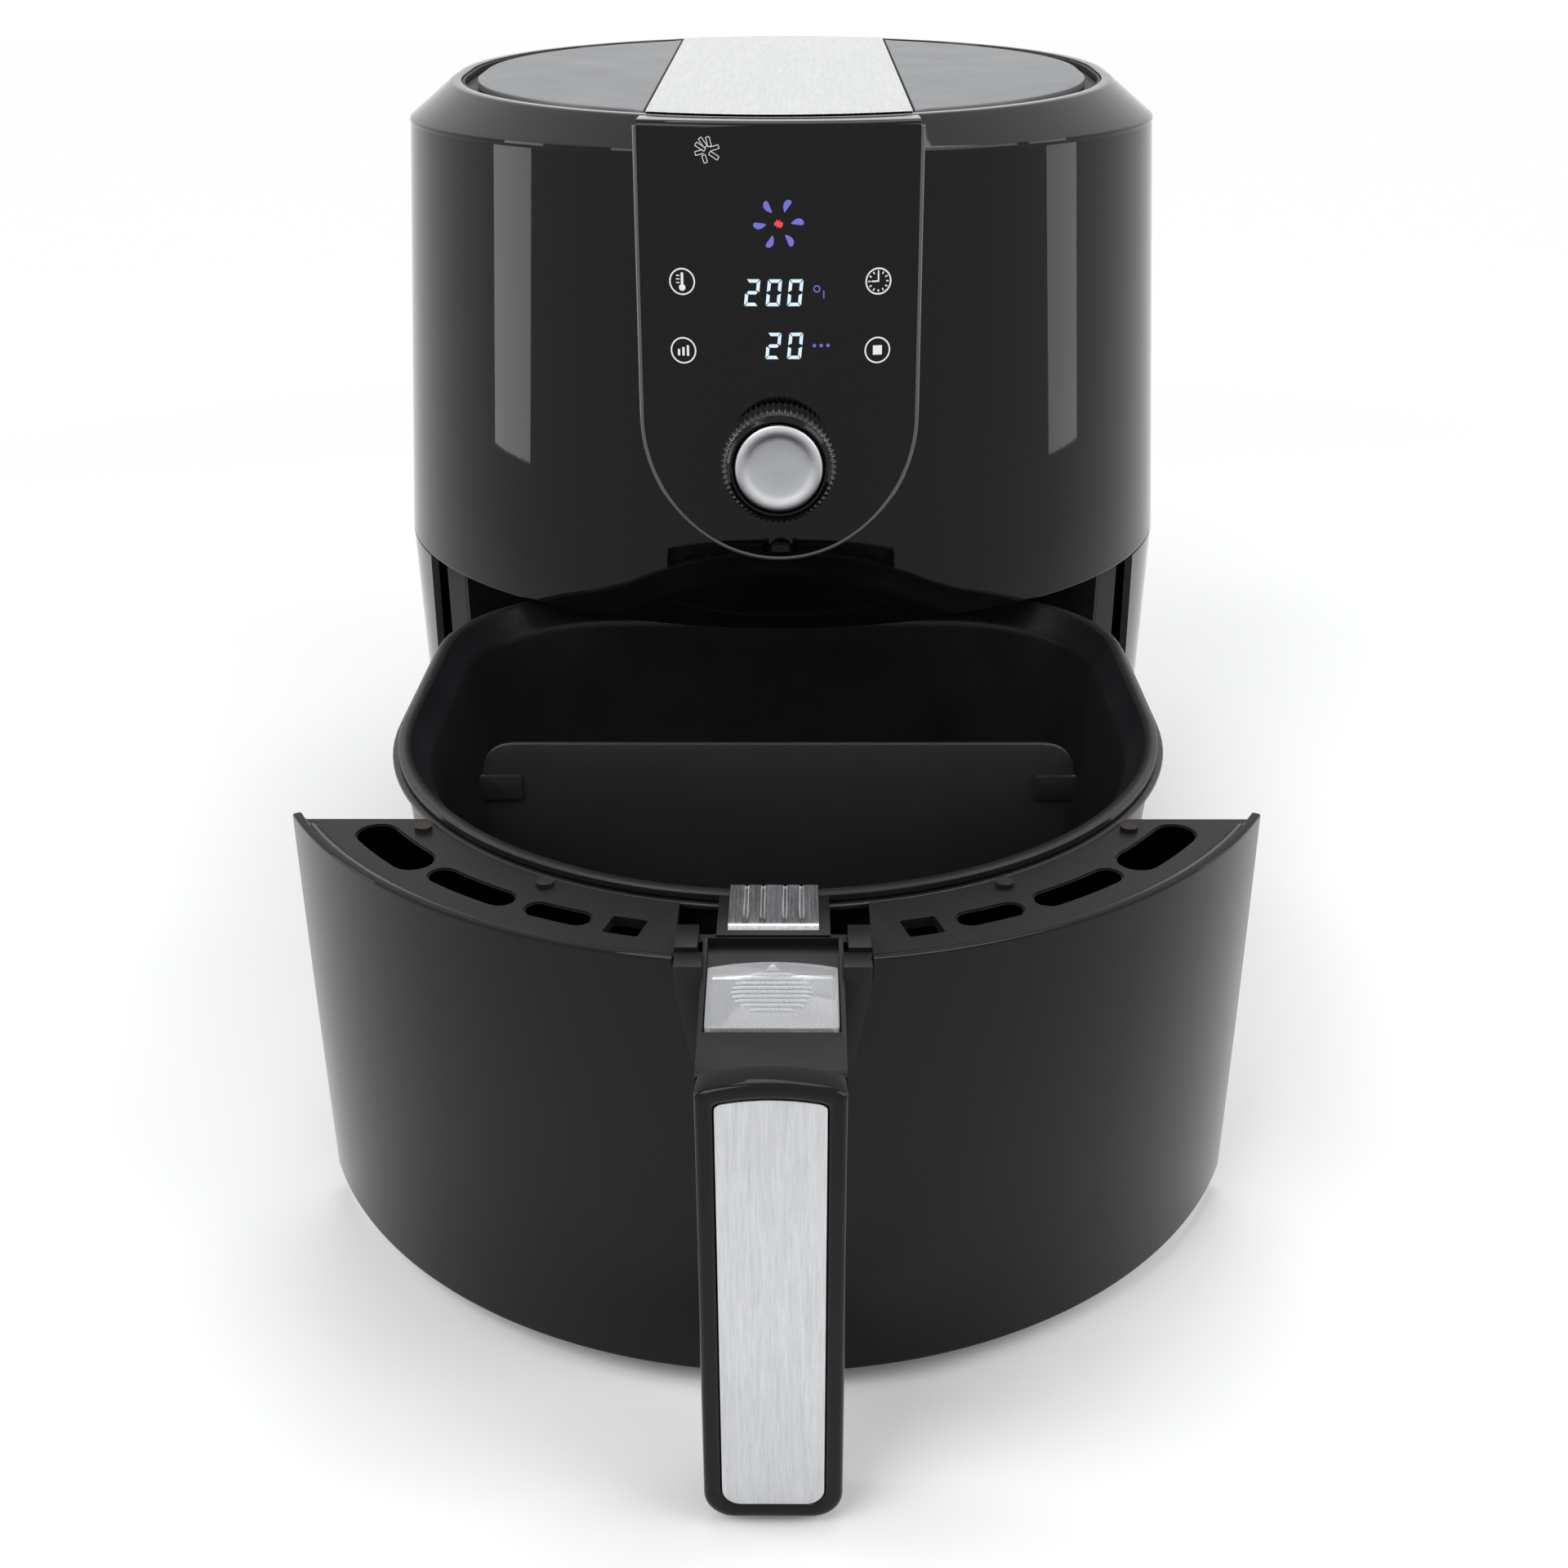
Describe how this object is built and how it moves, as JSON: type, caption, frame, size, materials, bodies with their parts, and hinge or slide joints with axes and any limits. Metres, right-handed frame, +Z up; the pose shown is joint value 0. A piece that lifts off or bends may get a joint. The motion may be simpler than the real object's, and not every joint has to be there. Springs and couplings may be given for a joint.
{
  "type": "air fryer",
  "caption": "Digital hot-air fryer with a touch panel and push dial, and a pull-out pan and basket with a divider and a release latch.",
  "frame": {"origin": "on the floor under the axis of the housing, between the feet", "axes": "+Z up, -Y the front with the drawer and handle, +X to the right seen from the front"},
  "size_m": [0.326, 0.6278, 0.3353],
  "materials": {
    "gloss_black": "deep gloss black",
    "gloss_bevel": "deep gloss black",
    "groove_black": "satin black",
    "top_grey": "satin grey",
    "steel": "fine straight brushing",
    "panel_gloss": "tinted gloss touch plate",
    "pcb": "solder mask",
    "light_box": "white diffuser",
    "zinc": "plated",
    "dial_black": "fine textured",
    "dial_gloss": "gloss",
    "cap_silver": "fine blasted, anodised",
    "frame_grey": "fine texture",
    "base_black": "moulded texture",
    "rubber": "matt",
    "chamber_steel": "aluminised sheet",
    "heater": "oxidised tube",
    "wire": "plated wire",
    "motor_steel": "laminated steel",
    "fan_alu": "pressed sheet",
    "fan_plastic": "moulded",
    "ceramic": "glazed",
    "parts_dark": "moulded",
    "signal_red": "moulded",
    "pan_coat": "non-stick coating",
    "deck_matt": "fine spark texture",
    "trim_grey": "satin",
    "divider_coat": "matt non-stick coating",
    "bracket_matt": "fine texture",
    "grip_soft": "soft touch",
    "clear": "clear moulded plastic"
  },
  "bodies": {
    "housing": {"upper_shell": "gloss_black", "rear_shell": "gloss_black", "top_cover": "gloss_bevel", "top_groove": "groove_black", "top_panel": "top_grey", "steel_strip": "steel", "control_frame": "gloss_bevel", "control_panel": "panel_gloss", "display_board": "pcb", "display_block": "light_box", "dial_encoder": "zinc", "drawer_frame": "frame_grey", "base_plate": "base_black", "feet": "rubber", "base_screws": "zinc", "cooking_chamber": "chamber_steel", "heater_coil": "heater", "heater_guard": "wire", "heater_posts": "chamber_steel", "motor_bridge": "chamber_steel", "fan_motor": "motor_steel", "thermal_cutout": "ceramic", "power_board": "pcb", "power_parts": "parts_dark", "rear_grille": "base_black", "cord_gland": "base_black", "door_switch": "parts_dark"},
    "rotor": {"fan_shaft": "zinc", "hot_fan": "fan_alu", "cooling_fan": "fan_plastic"},
    "dial": {"dial_ring": "dial_black", "dial_face": "dial_gloss"},
    "cap": {"push_cap": "cap_silver", "cap_stem": "zinc"},
    "plunger": {"switch_plunger": "signal_red"},
    "drawer": {"pan": "pan_coat", "drawer_fascia": "gloss_black", "fascia_deck": "deck_matt", "fascia_trim": "trim_grey", "deck_screws": "zinc", "basket": "pan_coat", "basket_floor_plate": "pan_coat", "divider_plate": "divider_coat", "divider_clips": "divider_coat", "basket_clip": "steel", "handle_bracket": "bracket_matt", "handle_core": "grip_soft", "handle_bezel": "gloss_black", "handle_inlay": "steel", "handle_screws": "zinc"},
    "cover": {"release_cover": "clear"},
    "button": {"release_button": "dial_gloss"}
  },
  "joints": [
    {"name": "drawer_slide", "type": "slide", "parent": "housing", "child": "drawer", "axis": [0, -1, 0], "range_m": [-0.236, 0.04]},
    {"name": "release_cover_slide", "type": "slide", "parent": "drawer", "child": "cover", "axis": [0, 0.9877, 0.1564], "range_m": [0, 0.009]},
    {"name": "release_button_press", "type": "slide", "parent": "drawer", "child": "button", "axis": [0, 0.1564, -0.9877], "range_m": [0, 0.002], "stiffness_N_per_m": 900, "springref_m": -0.002},
    {"name": "dial_turn", "type": "hinge", "parent": "housing", "child": "dial", "pos_m": [0, -0.19, 0.213], "axis": [0, -1, 0], "continuous": true},
    {"name": "push_cap_press", "type": "slide", "parent": "dial", "child": "cap", "axis": [0, 1, 0], "range_m": [0, 0.0016], "stiffness_N_per_m": 1200, "springref_m": -0.0015},
    {"name": "fan_spin", "type": "hinge", "parent": "housing", "child": "rotor", "pos_m": [0, 0, 0.25], "axis": [0, 0, 1], "continuous": true},
    {"name": "switch_plunger_press", "type": "slide", "parent": "housing", "child": "plunger", "axis": [0, 1, 0], "range_m": [0, 0.0012], "stiffness_N_per_m": 300, "springref_m": -0.001}
  ]
}
